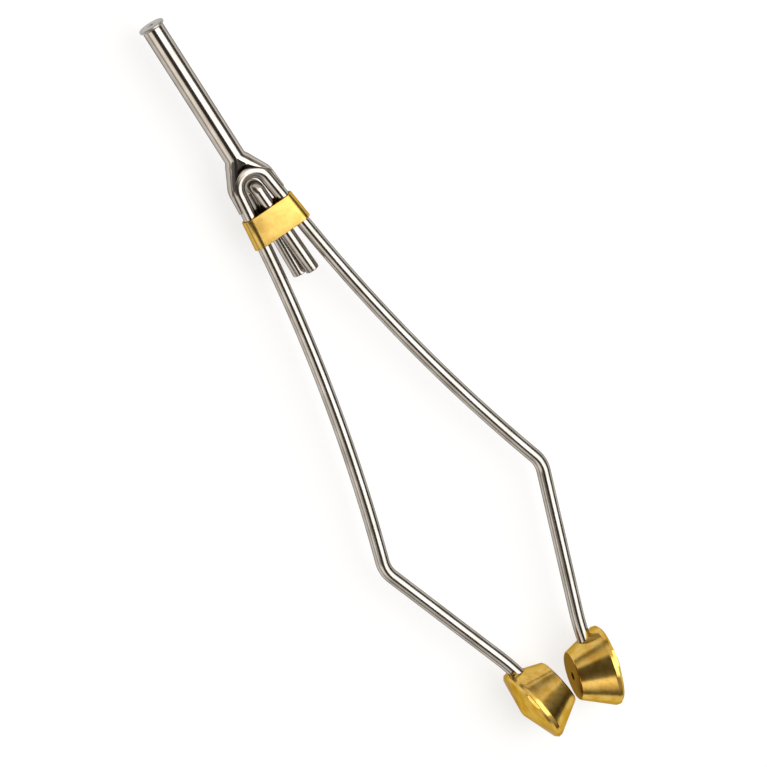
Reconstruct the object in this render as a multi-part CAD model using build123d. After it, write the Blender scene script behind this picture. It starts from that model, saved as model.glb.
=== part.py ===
"""Bobbin holder for fly tying: a sprung wire frame, a thread tube and two turned spool feet.

Millimetres. The origin is the centre of the tip's mouth, where the thread leaves. +Y runs along the
thread tube and out of the tip, the two arms lie in the XY plane and +Z is square to them.
"""
import os
from math import atan2, cos, degrees, radians, sin, sqrt, tan

from build123d import *

# Wire that the frame and the wedge are bent from
wire_d = 1.85

# Thread tube and the headed bush that lines its tip
tube_od = 2.85
tube_wall = 0.325
tube_length = 19.4
lip_overhang = 0.275
lip_thickness = 0.45
lip_edge_radius = 0.18
mouth_radius = 0.2
thread_hole_d = 0.8
bush_stem_length = 3.0
bush_fit = 0.02

# Slit tube end: two half-round tongues that straddle the crown of the wire
tongue_drop = 2.5
tongue_seat_gap = 0.04
tongue_wall_at_crown = 0.3
tongue_wall_at_tip = 0.08
tongue_slope = 26.5
tongue_upper_share = 0.62
tongue_lower_share = 0.3
tongue_root_half_angle = 87.0
tongue_crown_half_angle = 85.0
tongue_leg_half_angle = 65.0
tongue_tip_half_angle = 55.0
tongue_wall_at_leg = 0.2
tongue_tip_run = 2.3
back_tab_length = 2.0
back_tab_root = 0.4
back_tab_inset = 0.05
back_tab_half_angle = 40.0

# Wire frame: crown, straight legs through the band, bowed arms and elbows
crown_slack = 0.23
leg_angle = 6.5
crown_to_band = 7.1
elbow_drop = 43.4
elbow_half_spread = 11.95
elbow_radius = 4.0
foot_bend_angle = 5.0
foot_bend_radius = 36.0
foot_bend_to_seat = 5.2
left_foot_drop = 27.78
right_foot_drop = 28.85
flex_offset = 11.0
flex_gap = 0.04

# Wedge hairpin inside the crown
hairpin_leg_gap = 0.05
hairpin_roll = 75.0
hairpin_top_gap = 0.2
hairpin_spread_angle = 2.3
hairpin_spread_radius = 10.0
hairpin_stub = 6.2
stub_edge_radius = 0.12

# Clamp band
band_height = 3.9
band_wall = 0.28
band_fit = 0.03

# Spool feet, turned brass cones that face each other
foot_gap = 0.51
foot_gap_x = -0.4
left_toe_angle = 6.6
right_toe_angle = 17.6
left_foot_roll = 4.0
foot_small_d = 6.5
foot_large_d = 10.7
foot_cone_length = 4.35
foot_rim = 0.8
foot_back_angle = 15.0
foot_back_tip_radius = 2.0
foot_edge = 0.12
foot_back_edge = 0.32
foot_wire_seat = 2.95
foot_wire_past_axis = 1.6
foot_wire_fit = 0.02
centre_hole_d = 1.1
centre_hole_depth = 0.9
stake_angle = 66.0
stake_front = 0.4
stake_length = 2.2
stake_depth = 0.35

# Values worked out from the sizes above
wire_r = wire_d / 2
tube_r = tube_od / 2
tube_bore_r = tube_r - tube_wall
lip_r = tube_r + lip_overhang
crown_radius = wire_d + crown_slack
hairpin_bend_radius = wire_r + hairpin_leg_gap / 2
slit_root_y = -lip_thickness - tube_length
crown_top_y = slit_root_y - tongue_drop
crown_centre_y = crown_top_y - crown_radius
band_y = crown_top_y - crown_to_band
band_top_y = band_y + band_height / 2
band_bottom_y = band_y - band_height / 2
leg_start = Vector(
    crown_radius * cos(radians(leg_angle)),
    crown_centre_y + crown_radius * sin(radians(leg_angle)),
)


def leg_x(y):
    """Distance of a leg's centre line from the tube's axis at height y."""
    return leg_start.X + (leg_start.Y - y) * tan(radians(leg_angle))


def heading(angle):
    """Direction that leaves straight down the tool and turns outwards by an angle in degrees."""
    return Vector(sin(radians(angle)), -cos(radians(angle)))


# Bowed arm: one arc that leaves the band in line with the leg and ends at the elbow
arm_start = Vector(leg_x(band_bottom_y), band_bottom_y)
elbow_start = Vector(elbow_half_spread, band_bottom_y - elbow_drop)
arm_chord = elbow_start - arm_start
chord_angle = degrees(atan2(arm_chord.X, -arm_chord.Y))
arm_turn = 2 * (chord_angle - leg_angle)
arm_radius = arm_chord.length / 2 / sin(radians(arm_turn / 2))
arm_end_angle = leg_angle + arm_turn

# Flex pivot: where a bent sprung arm turns about, a short way below the band
flex_turn = degrees(flex_offset / arm_radius)
flex_angle = leg_angle + flex_turn
flex_point = JernArc(arm_start, heading(leg_angle), arm_radius, flex_turn) @ 1

# Elbow's bend, and how far inside its centre the line of the wire's end passes
elbow_inward = Vector(-cos(radians(arm_end_angle)), -sin(radians(arm_end_angle)))
elbow_centre = elbow_start + elbow_inward * elbow_radius
foot_bend = radians(foot_bend_angle)
bend_offset = foot_bend_radius * (1 - cos(foot_bend)) + foot_bend_to_seat * sin(foot_bend)
bend_reach = foot_bend_radius * sin(foot_bend) + foot_bend_to_seat * cos(foot_bend)


class ArmEnd:
    """Lower end of an arm and the place of its foot, laid out on the right-hand side."""

    def __init__(self, toe_angle, edge_x, foot_drop):
        toe = radians(toe_angle)
        self.axis = Vector(cos(toe), -sin(toe))
        self.towards_tip = Vector(sin(toe), cos(toe))
        seat_x = edge_x + foot_small_d / 2 * sin(toe) + foot_wire_seat * cos(toe)
        self.seat = Vector(seat_x, elbow_start.Y - foot_drop)
        self.small_face = self.seat - self.axis * foot_wire_seat
        to_seat = self.seat - elbow_centre
        line_offset = elbow_radius + bend_offset
        line_length = sqrt(to_seat.length ** 2 - line_offset ** 2)
        lean = degrees(atan2(to_seat.X, -to_seat.Y))
        self.lower_angle = lean - degrees(atan2(line_offset, line_length))
        self.lower_length = line_length - bend_reach
        self.end_angle = self.lower_angle + foot_bend_angle


left_end = ArmEnd(left_toe_angle, foot_gap / 2 - foot_gap_x, left_foot_drop)
right_end = ArmEnd(right_toe_angle, foot_gap / 2 + foot_gap_x, right_foot_drop)

# Hairpin: bend plane, depth and the directions of its legs
roll = radians(hairpin_roll)
hairpin_out = Vector(cos(roll), 0, sin(roll))
hairpin_side = Vector(sin(roll), 0, -cos(roll))
hairpin_axis_z = -hairpin_bend_radius * sin(roll)
hairpin_top = Vector(0, crown_top_y - wire_d - hairpin_top_gap, hairpin_axis_z)
hairpin_end_y = band_bottom_y - hairpin_stub
DOWN = Vector(0, -1, 0)


def wire_along(path, radius=wire_r):
    """Round wire swept along a path of lines and arcs."""
    section = Plane(origin=path @ 0, z_dir=path % 0) * Circle(radius)
    return sweep(section, path=path)


def both_sides(right):
    """A right-hand piece together with its mirror image."""
    return right + mirror(right, about=Plane.YZ)


def tongue_section(centre, angle, inner_r, wall, half_angle):
    """Half-round section of a tongue: an arc-shaped strip, open towards the tool's axis."""
    across = Vector(cos(radians(angle)), sin(radians(angle)))
    plane = Plane(origin=centre, x_dir=across, z_dir=-heading(angle))
    outer = CenterArc((0, 0), inner_r + wall, -half_angle, 2 * half_angle)
    inner = CenterArc((0, 0), inner_r, -half_angle, 2 * half_angle)
    outline = outer + inner + Line(outer @ 0, inner @ 0) + Line(outer @ 1, inner @ 1)
    return plane * make_face(outline)


def on_crown(angle):
    """Point of the crown's centre line at an angle above its middle, in degrees."""
    out = Vector(cos(radians(angle)), sin(radians(angle)))
    return Vector(0, crown_centre_y) + out * crown_radius


def tongue_half_angle(share):
    """Half angle of a sloping section, a share of the way back from the crown to the slit's root."""
    return tongue_crown_half_angle + share * (tongue_root_half_angle - tongue_crown_half_angle)


def tongue():
    """Right tongue: leaves the tube as half its wall, slopes out and feathers onto the wire."""
    seat_r = wire_r + tongue_seat_gap
    upper_r = (tube_bore_r + seat_r) / 2
    touch = on_crown(tongue_slope)
    back_up = -heading(tongue_slope)
    run = (slit_root_y - touch.Y) / back_up.Y
    outwards = Vector(cos(radians(tongue_slope)), sin(radians(tongue_slope)))
    upper = touch + back_up * (run * tongue_upper_share) + outwards * (seat_r - upper_r)
    lower = touch + back_up * (run * tongue_lower_share)
    upper_half = tongue_half_angle(tongue_upper_share)
    lower_half = tongue_half_angle(tongue_lower_share)
    feather_angle = (tongue_slope + leg_angle) / 2
    feather_wall = (tongue_wall_at_crown + tongue_wall_at_leg) / 2
    feather_half = (tongue_crown_half_angle + tongue_leg_half_angle) / 2
    on_leg = tongue_section(leg_start, leg_angle, seat_r, tongue_wall_at_leg, tongue_leg_half_angle)
    tip_place = leg_start + heading(leg_angle) * tongue_tip_run
    tip = tongue_section(tip_place, leg_angle, seat_r, tongue_wall_at_tip, tongue_tip_half_angle)
    sections = [
        tongue_section(Vector(0, slit_root_y), 0, tube_bore_r, tube_wall, tongue_root_half_angle),
        tongue_section(upper, tongue_slope, upper_r, tongue_wall_at_crown, upper_half),
        tongue_section(lower, tongue_slope, seat_r, tongue_wall_at_crown, lower_half),
        tongue_section(touch, tongue_slope, seat_r, tongue_wall_at_crown, tongue_crown_half_angle),
        tongue_section(on_crown(feather_angle), feather_angle, seat_r, feather_wall, feather_half),
        on_leg,
    ]
    return loft(sections) + loft([on_leg, tip], ruled=True)


def back_tab():
    """Strip of the tube's rear wall that is left whole behind the crown, thinned by the slitting."""
    plane = Plane(origin=(0, slit_root_y + back_tab_root, 0), x_dir=(0, 0, -1), z_dir=(0, -1, 0))
    outer_r = tube_r - back_tab_inset
    inner_r = tube_bore_r + back_tab_inset
    outer = CenterArc((0, 0), outer_r, -back_tab_half_angle, 2 * back_tab_half_angle)
    inner = CenterArc((0, 0), inner_r, -back_tab_half_angle, 2 * back_tab_half_angle)
    outline = outer + inner + Line(outer @ 0, inner @ 0) + Line(outer @ 1, inner @ 1)
    return extrude(plane * make_face(outline), back_tab_root + back_tab_length)


def thread_tube():
    """Tube with a plain top end, two tongues formed from its slit lower end and a tab behind them."""
    ring = Circle(tube_r) - Circle(tube_bore_r)
    top = Plane(origin=(0, -lip_thickness, 0), z_dir=(0, -1, 0))
    tube = extrude(top * ring, tube_length)
    return tube + both_sides(tongue()) + back_tab()


def tip_bush():
    """Headed bush: a rounded lip on the tube's end, a stem inside it and the thread hole."""
    hole_r = thread_hole_d / 2
    stem_r = tube_bore_r - bush_fit
    stem_end = -lip_thickness - bush_stem_length
    outline = Polyline(
        (hole_r, 0),
        (lip_r, 0),
        (lip_r, -lip_thickness),
        (stem_r, -lip_thickness),
        (stem_r, stem_end),
        (hole_r, stem_end),
        close=True,
    )
    profile = make_face(outline)
    profile = fillet(profile.vertices().group_by(Axis.X)[-1], lip_edge_radius)
    profile = fillet(profile.vertices().group_by(Axis.X)[0].sort_by(Axis.Y)[-1], mouth_radius)
    return revolve(profile, Axis.Y)


def frame_wire():
    """Crown and legs of the frame, down to the cups where the arms begin to flex."""
    crown = JernArc((0, crown_top_y), (1, 0), crown_radius, leg_angle - 90)
    leg = Line(leg_start, arm_start)
    root = JernArc(arm_start, heading(leg_angle), arm_radius, flex_turn)
    cup = Pos(flex_point) * Sphere(wire_r + flex_gap)
    return both_sides(wire_along(crown + leg + root) - cup)


def arm_wire(end):
    """Sprung arm with a ball at the flex point, a bow, an elbow and a slight bend into the foot."""
    elbow_turn = end.lower_angle - arm_end_angle
    bow = JernArc(flex_point, heading(flex_angle), arm_radius, arm_turn - flex_turn)
    elbow = JernArc(elbow_start, heading(arm_end_angle), elbow_radius, elbow_turn)
    elbow_end = elbow @ 1
    lower = Line(elbow_end, elbow_end + heading(end.lower_angle) * end.lower_length)
    bend = JernArc(lower @ 1, heading(end.lower_angle), foot_bend_radius, foot_bend_angle)
    last = Line(bend @ 1, end.seat + heading(end.end_angle) * foot_wire_past_axis)
    ball = Pos(flex_point) * Sphere(wire_r)
    above = Plane(origin=flex_point, z_dir=-heading(flex_angle))
    dome = split(ball, bisect_by=above, keep=Keep.TOP)
    return wire_along(bow + elbow + lower + bend + last) + dome


def hairpin_leg():
    """Half of the wedge hairpin: a quarter of its bend, a slight spread and the straight leg."""
    spread = radians(hairpin_spread_angle)
    leg_top = hairpin_top + hairpin_out * hairpin_bend_radius + DOWN * hairpin_bend_radius
    bend_plane = Plane(origin=hairpin_top, x_dir=hairpin_out, z_dir=hairpin_side)
    bend = bend_plane * JernArc((0, 0), (1, 0), hairpin_bend_radius, 90)
    turn_plane = Plane(origin=leg_top, x_dir=DOWN, z_dir=DOWN.cross(hairpin_side))
    turn = turn_plane * JernArc((0, 0), (1, 0), hairpin_spread_radius, hairpin_spread_angle)
    along = DOWN * cos(spread) + hairpin_side * sin(spread)
    turn_end = turn @ 1
    straight = Line(turn_end, turn_end + along * ((turn_end.Y - hairpin_end_y) / cos(spread)))
    leg = wire_along(bend + turn + straight)
    end_edge = leg.edges().sort_by(Axis.Y)[0]
    return fillet(end_edge, stub_edge_radius)


def hairpin_offset(y):
    """Place of the front leg's centre line at height y, as (x, z) from the hairpin's own axis."""
    spread = radians(hairpin_spread_angle)
    leg_top_y = hairpin_top.Y - hairpin_bend_radius
    turn_drop = hairpin_spread_radius * sin(spread)
    turn_shift = hairpin_spread_radius * (1 - cos(spread))
    shift = turn_shift + (leg_top_y - turn_drop - y) * tan(spread)
    place = hairpin_out * hairpin_bend_radius + hairpin_side * shift
    return place.X, place.Z


def wedge_hairpin():
    """Wire bent double that fills the crown and is gripped by the band, with two cut stubs."""
    leg = hairpin_leg()
    own_axis = Axis((0, 0, hairpin_axis_z), (0, 1, 0))
    return leg + leg.rotate(own_axis, 180)


def band_outline(y, reach):
    """Section of the band at height y: tight round both legs and the hairpin's rear leg."""
    rear_x, rear_z = hairpin_offset(y)
    plane = Plane(origin=(0, y, 0), x_dir=(1, 0, 0), z_dir=(0, -1, 0))
    corners = Polyline(
        (-leg_x(y), 0),
        (leg_x(y), 0),
        (-rear_x, hairpin_axis_z - rear_z),
        close=True,
    )
    return plane * offset(make_face(corners), reach)


def band_solid(reach):
    """Solid that fills the band's outline at a given reach from the wires' centre lines."""
    return loft([band_outline(band_top_y, reach), band_outline(band_bottom_y, reach)], ruled=True)


def clamp_band():
    """Thin strip closed round the wires, a little wider at its lower edge."""
    inner_reach = wire_r / cos(radians(leg_angle)) + band_fit
    return band_solid(inner_reach + band_wall) - band_solid(inner_reach)


def spool_foot(end):
    """Turned cone with a rim and a low conical back, bored across for the wire and staked at its rim."""
    small_r = foot_small_d / 2
    large_r = foot_large_d / 2
    rim_back = foot_cone_length + foot_rim
    back_slope = radians(foot_back_angle)
    base_r = large_r - foot_back_edge
    tip_drop = foot_back_tip_radius * (1 - cos(back_slope))
    apex = rim_back + base_r * tan(back_slope) - foot_back_tip_radius * (1 / cos(back_slope) - 1)
    cone_slope = (large_r - small_r) / foot_cone_length
    front = Polyline(
        (0, 0),
        (small_r - foot_edge, 0),
        (small_r + foot_edge * cone_slope, foot_edge),
        (large_r, foot_cone_length),
        (large_r, rim_back - foot_back_edge),
        (base_r, rim_back),
        (foot_back_tip_radius * sin(back_slope), apex - tip_drop),
    )
    back = RadiusArc(front @ 1, (0, apex), -foot_back_tip_radius)
    profile = make_face(front + back + Line((0, apex), (0, 0)))
    across = end.axis.cross(Vector(0, 0, 1)) * -1
    turned_frame = Plane(origin=end.small_face, x_dir=(0, 0, 1), z_dir=across)
    foot = revolve(turned_frame * profile, Axis(end.small_face, end.axis))
    centre_hole = Plane(origin=end.small_face, z_dir=end.axis) * Circle(centre_hole_d / 2)
    foot -= extrude(centre_hole, centre_hole_depth)
    wire_end = end.seat + heading(end.end_angle) * (foot_wire_past_axis + foot_wire_fit)
    wire_hole = Plane(origin=wire_end, z_dir=-heading(end.end_angle)) * Circle(wire_r + foot_wire_fit)
    foot -= extrude(wire_hole, foot_large_d)
    stake_turn = radians(stake_angle)
    rim_out = end.towards_tip * cos(stake_turn) + Vector(0, 0, 1) * sin(stake_turn)
    stake_run = apex - foot_cone_length - stake_front
    stake_middle = end.small_face + end.axis * (apex - stake_run / 2) + rim_out * large_r
    stake_place = Plane(origin=stake_middle, x_dir=end.axis, z_dir=rim_out)
    return foot - stake_place * Box(stake_run, stake_length, 2 * stake_depth)


def left_spool_foot():
    """The foot mirrored onto the left arm and rolled a little about the wire that it is staked on."""
    wire_heading = heading(left_end.end_angle)
    wire_line = Axis((-left_end.seat.X, left_end.seat.Y, 0), (wire_heading.X, -wire_heading.Y, 0))
    return mirror(spool_foot(left_end), about=Plane.YZ).rotate(wire_line, left_foot_roll)


def main():
    """Build every piece and write each one to its own file."""
    os.makedirs("parts", exist_ok=True)
    pieces = {
        "thread_tube": thread_tube(),
        "tip_bush": tip_bush(),
        "frame_wire": frame_wire(),
        "wedge_hairpin": wedge_hairpin(),
        "clamp_band": clamp_band(),
        "right_arm_wire": arm_wire(right_end),
        "left_arm_wire": mirror(arm_wire(left_end), about=Plane.YZ),
        "right_spool_foot": spool_foot(right_end),
        "left_spool_foot": left_spool_foot(),
    }
    for name, piece in pieces.items():
        export_step(piece, f"parts/{name}.step")
    print(f"flex point {flex_point.X:.4f} {flex_point.Y:.4f}")
    for end in (left_end, right_end):
        print(f"small face {end.small_face.X:.4f} {end.small_face.Y:.4f}, lower arm {end.lower_angle:.2f}")
    print(f"arm bow radius {arm_radius:.1f}, end angle {arm_end_angle:.2f} degrees")


main()
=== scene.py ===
"""Looks of a bobbin holder for fly tying: drawn spring wire, a polished thread tube and turned brass feet.

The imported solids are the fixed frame. Sizes are in millimetres and degrees, as on the part's drawing,
and each finished mesh is brought to metres. +Y runs along the thread tube and out of the tip, and the
arms lie in the XY plane.
"""

import logging
import math
from dataclasses import dataclass, replace
from enum import Enum

import bmesh
import bpy
from bmesh.types import BMEdge, BMesh, BMFace, BMVert
from bpy.types import Material, Node, NodeSocket, NodeTree, Object
from mathutils import Matrix, Vector


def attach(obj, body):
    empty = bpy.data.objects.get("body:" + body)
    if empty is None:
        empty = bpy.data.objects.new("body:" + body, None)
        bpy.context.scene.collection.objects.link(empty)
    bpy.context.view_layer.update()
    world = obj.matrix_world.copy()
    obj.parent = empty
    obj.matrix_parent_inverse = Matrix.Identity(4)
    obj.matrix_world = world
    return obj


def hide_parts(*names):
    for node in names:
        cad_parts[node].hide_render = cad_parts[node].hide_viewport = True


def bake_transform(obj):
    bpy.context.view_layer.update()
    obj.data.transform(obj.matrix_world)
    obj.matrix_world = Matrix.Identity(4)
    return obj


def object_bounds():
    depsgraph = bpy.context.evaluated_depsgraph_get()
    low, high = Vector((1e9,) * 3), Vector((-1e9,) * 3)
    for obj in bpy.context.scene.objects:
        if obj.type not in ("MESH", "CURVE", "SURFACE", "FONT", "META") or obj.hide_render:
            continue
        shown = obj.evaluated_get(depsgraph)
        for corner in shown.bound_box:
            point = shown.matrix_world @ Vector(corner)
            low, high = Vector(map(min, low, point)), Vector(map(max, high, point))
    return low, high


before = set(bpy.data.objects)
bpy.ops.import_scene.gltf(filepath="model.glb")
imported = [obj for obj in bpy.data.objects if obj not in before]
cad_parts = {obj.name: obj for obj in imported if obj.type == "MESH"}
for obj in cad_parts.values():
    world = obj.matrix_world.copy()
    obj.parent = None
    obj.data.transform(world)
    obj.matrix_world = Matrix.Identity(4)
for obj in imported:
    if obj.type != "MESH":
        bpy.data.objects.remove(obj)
CAD_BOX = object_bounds()

MM = 0.001
WELD_MM = 0.0005
DRAWN = "drawn"
UP = Vector((0, 0, 1))
DOWN_TOOL = Vector((0, -1, 0))

log = logging.getLogger("bobbin_holder")


class Body(Enum):
    """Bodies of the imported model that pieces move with."""

    FRAME = "frame"
    LEFT_ARM = "left_arm"
    RIGHT_ARM = "right_arm"


class Side(Enum):
    """Sides of the tool, as the sign of x."""

    LEFT = -1
    RIGHT = 1

    @property
    def body(self) -> Body:
        """Body of the arm on this side."""
        return Body.LEFT_ARM if self is Side.LEFT else Body.RIGHT_ARM

    @property
    def word(self) -> str:
        """Word for this side in names of pieces."""
        return self.name.lower()

    def flip(self, point: Vector) -> Vector:
        """The point, mirrored across the tool's axis on the left side."""
        return Vector((point.x * self.value, point.y, point.z))


def colour(code: str) -> tuple[float, float, float, float]:
    """Linear colour of an sRGB hex code.

    Args:
        code: Six hex digits after a hash sign.

    Returns:
        Linear red, green and blue, with an alpha of one.
    """
    parts = [int(code[i:i + 2], 16) / 255 for i in (1, 3, 5)]
    linear = [p / 12.92 if p <= 0.04045 else ((p + 0.055) / 1.055) ** 2.4 for p in parts]
    return (*linear, 1.0)


def add_node(tree: NodeTree, kind: str, settings: dict | None = None, values: dict | None = None,
             links: dict | None = None) -> Node:
    """Adds a node with its settings, socket values and links.

    Args:
        tree: Node tree that the node goes into.
        kind: Blender's name of the node type.
        settings: Properties of the node.
        values: Input sockets and their constant values.
        links: Input sockets and the output sockets that feed them.

    Returns:
        The new node.
    """
    node = tree.nodes.new(kind)
    for name, value in (settings or {}).items():
        setattr(node, name, value)
    for name, value in (values or {}).items():
        node.inputs[name].default_value = value
    for name, socket in (links or {}).items():
        tree.links.new(socket, node.inputs[name])
    return node


def new_material(name: str) -> tuple[Material, NodeTree]:
    """Makes a material with an empty node tree.

    Args:
        name: Name of the material.

    Returns:
        The material and its node tree.
    """
    material = bpy.data.materials.new(name)
    material.use_nodes = True
    material.node_tree.nodes.clear()
    return material, material.node_tree


def smooth(mesh: BMesh, sharp_angle: float) -> None:
    """Shades a mesh's faces smoothly and keeps its corners sharp.

    Args:
        mesh: Mesh that is shaded.
        sharp_angle: Edges that turn by more than this many degrees stay sharp.
    """
    for face in mesh.faces:
        face.smooth = True
    for edge in mesh.edges:
        edge.smooth = edge.is_manifold and edge.calc_face_angle() < math.radians(sharp_angle)


def to_piece(mesh: BMesh, name: str, material: Material, sharp_angle: float = 32.0) -> Object:
    """Makes an object at the origin from a mesh in millimetres, with smooth faces and sharp corners.

    Args:
        mesh: Finished mesh, which is freed.
        name: Name of the piece.
        material: Its finish.
        sharp_angle: Edges that turn by more than this many degrees stay sharp.

    Returns:
        The new object.
    """
    bmesh.ops.remove_doubles(mesh, verts=mesh.verts, dist=WELD_MM)
    bmesh.ops.recalc_face_normals(mesh, faces=mesh.faces)
    bmesh.ops.scale(mesh, vec=(MM, MM, MM), verts=mesh.verts)
    smooth(mesh, sharp_angle)
    data = bpy.data.meshes.new(name)
    mesh.to_mesh(data)
    mesh.free()
    data.materials.append(material)
    piece = bpy.data.objects.new(name, data)
    bpy.context.scene.collection.objects.link(piece)
    return piece


def verts_of(geometry: list) -> list:
    """The vertices among a list of mesh elements."""
    return [item for item in geometry if isinstance(item, BMVert)]


def faces_of(geometry: list) -> list:
    """The faces among a list of mesh elements."""
    return [item for item in geometry if isinstance(item, BMFace)]


def spoke(angle: float) -> Vector:
    """Direction in the arms' plane at an angle in degrees from +X."""
    return Vector((math.cos(math.radians(angle)), math.sin(math.radians(angle)), 0))


def round_edges(mesh: BMesh, edges: list, radius: float, segments: int = 3) -> None:
    """Rounds some edges of a mesh.

    Args:
        mesh: Mesh that the edges belong to.
        edges: Edges that are rounded.
        radius: Radius that they get.
        segments: Number of faces across the rounding.
    """
    bmesh.ops.bevel(mesh, geom=edges, offset=radius, offset_type="OFFSET", segments=segments, profile=0.5,
                    affect="EDGES", material=-1)


def turn_round(mesh: BMesh, axis: tuple, steps: int) -> None:
    """Turns a mesh's profile a full circle about an axis through the origin.

    Args:
        mesh: Mesh that holds only the profile.
        axis: Direction of the axis.
        steps: Number of steps in the circle.
    """
    bmesh.ops.spin(mesh, geom=mesh.verts[:] + mesh.edges[:], cent=(0, 0, 0), axis=axis, dvec=(0, 0, 0),
                   angle=math.tau, steps=steps, use_merge=True)
    bmesh.ops.remove_doubles(mesh, verts=mesh.verts, dist=WELD_MM)


@dataclass(frozen=True)
class Layout:
    """Sizes and places that several pieces share."""

    wire_d: float = 1.85
    tube_od: float = 2.85
    tube_wall: float = 0.325
    tube_length: float = 19.4
    lip_thickness: float = 0.45
    tongue_drop: float = 2.5
    crown_slack: float = 0.23
    leg_angle: float = 6.5
    crown_to_band: float = 7.1
    band_height: float = 3.9
    elbow_drop: float = 43.4
    elbow_half_spread: float = 11.95
    elbow_radius: float = 4.0
    flex_offset: float = 11.0
    foot_gap: float = 0.51
    foot_gap_x: float = -0.4
    foot_small_d: float = 6.5
    foot_wire_seat: float = 2.95
    foot_wire_past_axis: float = 1.6

    @property
    def wire_r(self) -> float:
        """Radius of the wire."""
        return self.wire_d / 2

    @property
    def slit_root_y(self) -> float:
        """Height where the tube's slit begins."""
        return -self.lip_thickness - self.tube_length

    @property
    def crown_radius(self) -> float:
        """Radius of the crown's centre line."""
        return self.wire_d + self.crown_slack

    @property
    def crown_top_y(self) -> float:
        """Height of the crown's centre line at its top."""
        return self.slit_root_y - self.tongue_drop

    @property
    def crown_centre(self) -> Vector:
        """Centre of the crown's bend."""
        return Vector((0, self.crown_top_y - self.crown_radius, 0))

    @property
    def leg_start(self) -> Vector:
        """Where the right leg leaves the crown."""
        return self.crown_centre + spoke(self.leg_angle) * self.crown_radius

    @property
    def band_y(self) -> float:
        """Height of the clamp band's middle."""
        return self.crown_top_y - self.crown_to_band

    @property
    def band_top_y(self) -> float:
        """Height of the clamp band's upper edge."""
        return self.band_y + self.band_height / 2

    @property
    def band_bottom_y(self) -> float:
        """Height of the clamp band's lower edge."""
        return self.band_y - self.band_height / 2

    def leg_x(self, y: float) -> float:
        """Distance of a leg's centre line from the tool's axis at height y."""
        return self.leg_start.x + (self.leg_start.y - y) * math.tan(math.radians(self.leg_angle))

    @staticmethod
    def heading(angle: float) -> Vector:
        """Direction that leaves straight down the tool and turns outwards by an angle."""
        return Vector((math.sin(math.radians(angle)), -math.cos(math.radians(angle)), 0))

    @property
    def arm_start(self) -> Vector:
        """Where the right arm leaves the band."""
        return Vector((self.leg_x(self.band_bottom_y), self.band_bottom_y, 0))

    @property
    def elbow_start(self) -> Vector:
        """Where the right arm's bow ends and its elbow begins."""
        return Vector((self.elbow_half_spread, self.band_bottom_y - self.elbow_drop, 0))

    @property
    def arm_turn(self) -> float:
        """Angle that the bow turns through, in degrees."""
        chord = self.elbow_start - self.arm_start
        return 2 * (math.degrees(math.atan2(chord.x, -chord.y)) - self.leg_angle)

    @property
    def arm_radius(self) -> float:
        """Radius of the bow."""
        chord = self.elbow_start - self.arm_start
        return chord.length / 2 / math.sin(math.radians(self.arm_turn / 2))

    @property
    def arm_end_angle(self) -> float:
        """Outward angle of the arm at its elbow."""
        return self.leg_angle + self.arm_turn

    @property
    def bow_centre(self) -> Vector:
        """Centre of the right arm's bow."""
        return self.arm_start + spoke(self.leg_angle) * self.arm_radius

    @property
    def flex_point(self) -> Vector:
        """Place that the sprung right arm would turn about.

        Returns:
            The place on the bow, a set length of wire below the band.
        """
        from_centre = self.arm_start - self.bow_centre
        from_centre.rotate(Matrix.Rotation(self.flex_offset / self.arm_radius, 3, "Z"))
        return self.bow_centre + from_centre

    @property
    def elbow_centre(self) -> Vector:
        """Centre of the right elbow's bend."""
        return self.elbow_start - spoke(self.arm_end_angle) * self.elbow_radius


@dataclass(frozen=True)
class ArmEnd:
    """Lower end of one arm and the place of its foot, laid out on the right-hand side."""

    layout: Layout
    side: Side
    toe_angle: float
    foot_drop: float
    foot_roll: float = 0.0
    bend_angle: float = 5.0
    bend_radius: float = 36.0
    bend_to_seat: float = 5.2

    @property
    def axis(self) -> Vector:
        """Outward direction of the foot's axis."""
        return spoke(-self.toe_angle)

    @property
    def seat(self) -> Vector:
        """Where the wire's centre line crosses the axis of its foot.

        Returns:
            The place, which keeps the feet's small faces the gap apart.
        """
        lay = self.layout
        toe = math.radians(self.toe_angle)
        edge_x = lay.foot_gap / 2 + self.side.value * lay.foot_gap_x
        seat_x = edge_x + lay.foot_small_d / 2 * math.sin(toe) + lay.foot_wire_seat * math.cos(toe)
        return Vector((seat_x, lay.elbow_start.y - self.foot_drop, 0))

    @property
    def line_offset(self) -> float:
        """How far from the elbow's centre the lower arm would pass if its end bend were carried back.

        Returns:
            The distance, square to the lower arm.
        """
        turn = math.radians(self.bend_angle)
        bend_offset = self.bend_radius * (1 - math.cos(turn)) + self.bend_to_seat * math.sin(turn)
        return self.layout.elbow_radius + bend_offset

    @property
    def line_length(self) -> float:
        """Length along the lower arm from the elbow's bend to level with the seat."""
        reach = self.seat - self.layout.elbow_centre
        return math.sqrt(reach.length_squared - self.line_offset ** 2)

    @property
    def lower_angle(self) -> float:
        """Outward angle of the lower arm, negative because it leans inwards."""
        reach = self.seat - self.layout.elbow_centre
        return math.degrees(math.atan2(reach.x, -reach.y) - math.atan2(self.line_offset, self.line_length))

    @property
    def lower_length(self) -> float:
        """Length of the straight lower arm."""
        turn = math.radians(self.bend_angle)
        return self.line_length - self.bend_radius * math.sin(turn) - self.bend_to_seat * math.cos(turn)

    @property
    def end_angle(self) -> float:
        """Outward angle of the wire where it enters the foot."""
        return self.lower_angle + self.bend_angle

    @property
    def bend_centre(self) -> Vector:
        """Centre of the slight bend above the foot.

        Returns:
            The place, outside the end of the straight lower arm.
        """
        lay = self.layout
        out = spoke(self.lower_angle)
        lower_arm = lay.heading(self.lower_angle) * self.lower_length
        bend_start = lay.elbow_centre + out * lay.elbow_radius + lower_arm
        return bend_start + out * self.bend_radius


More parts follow.
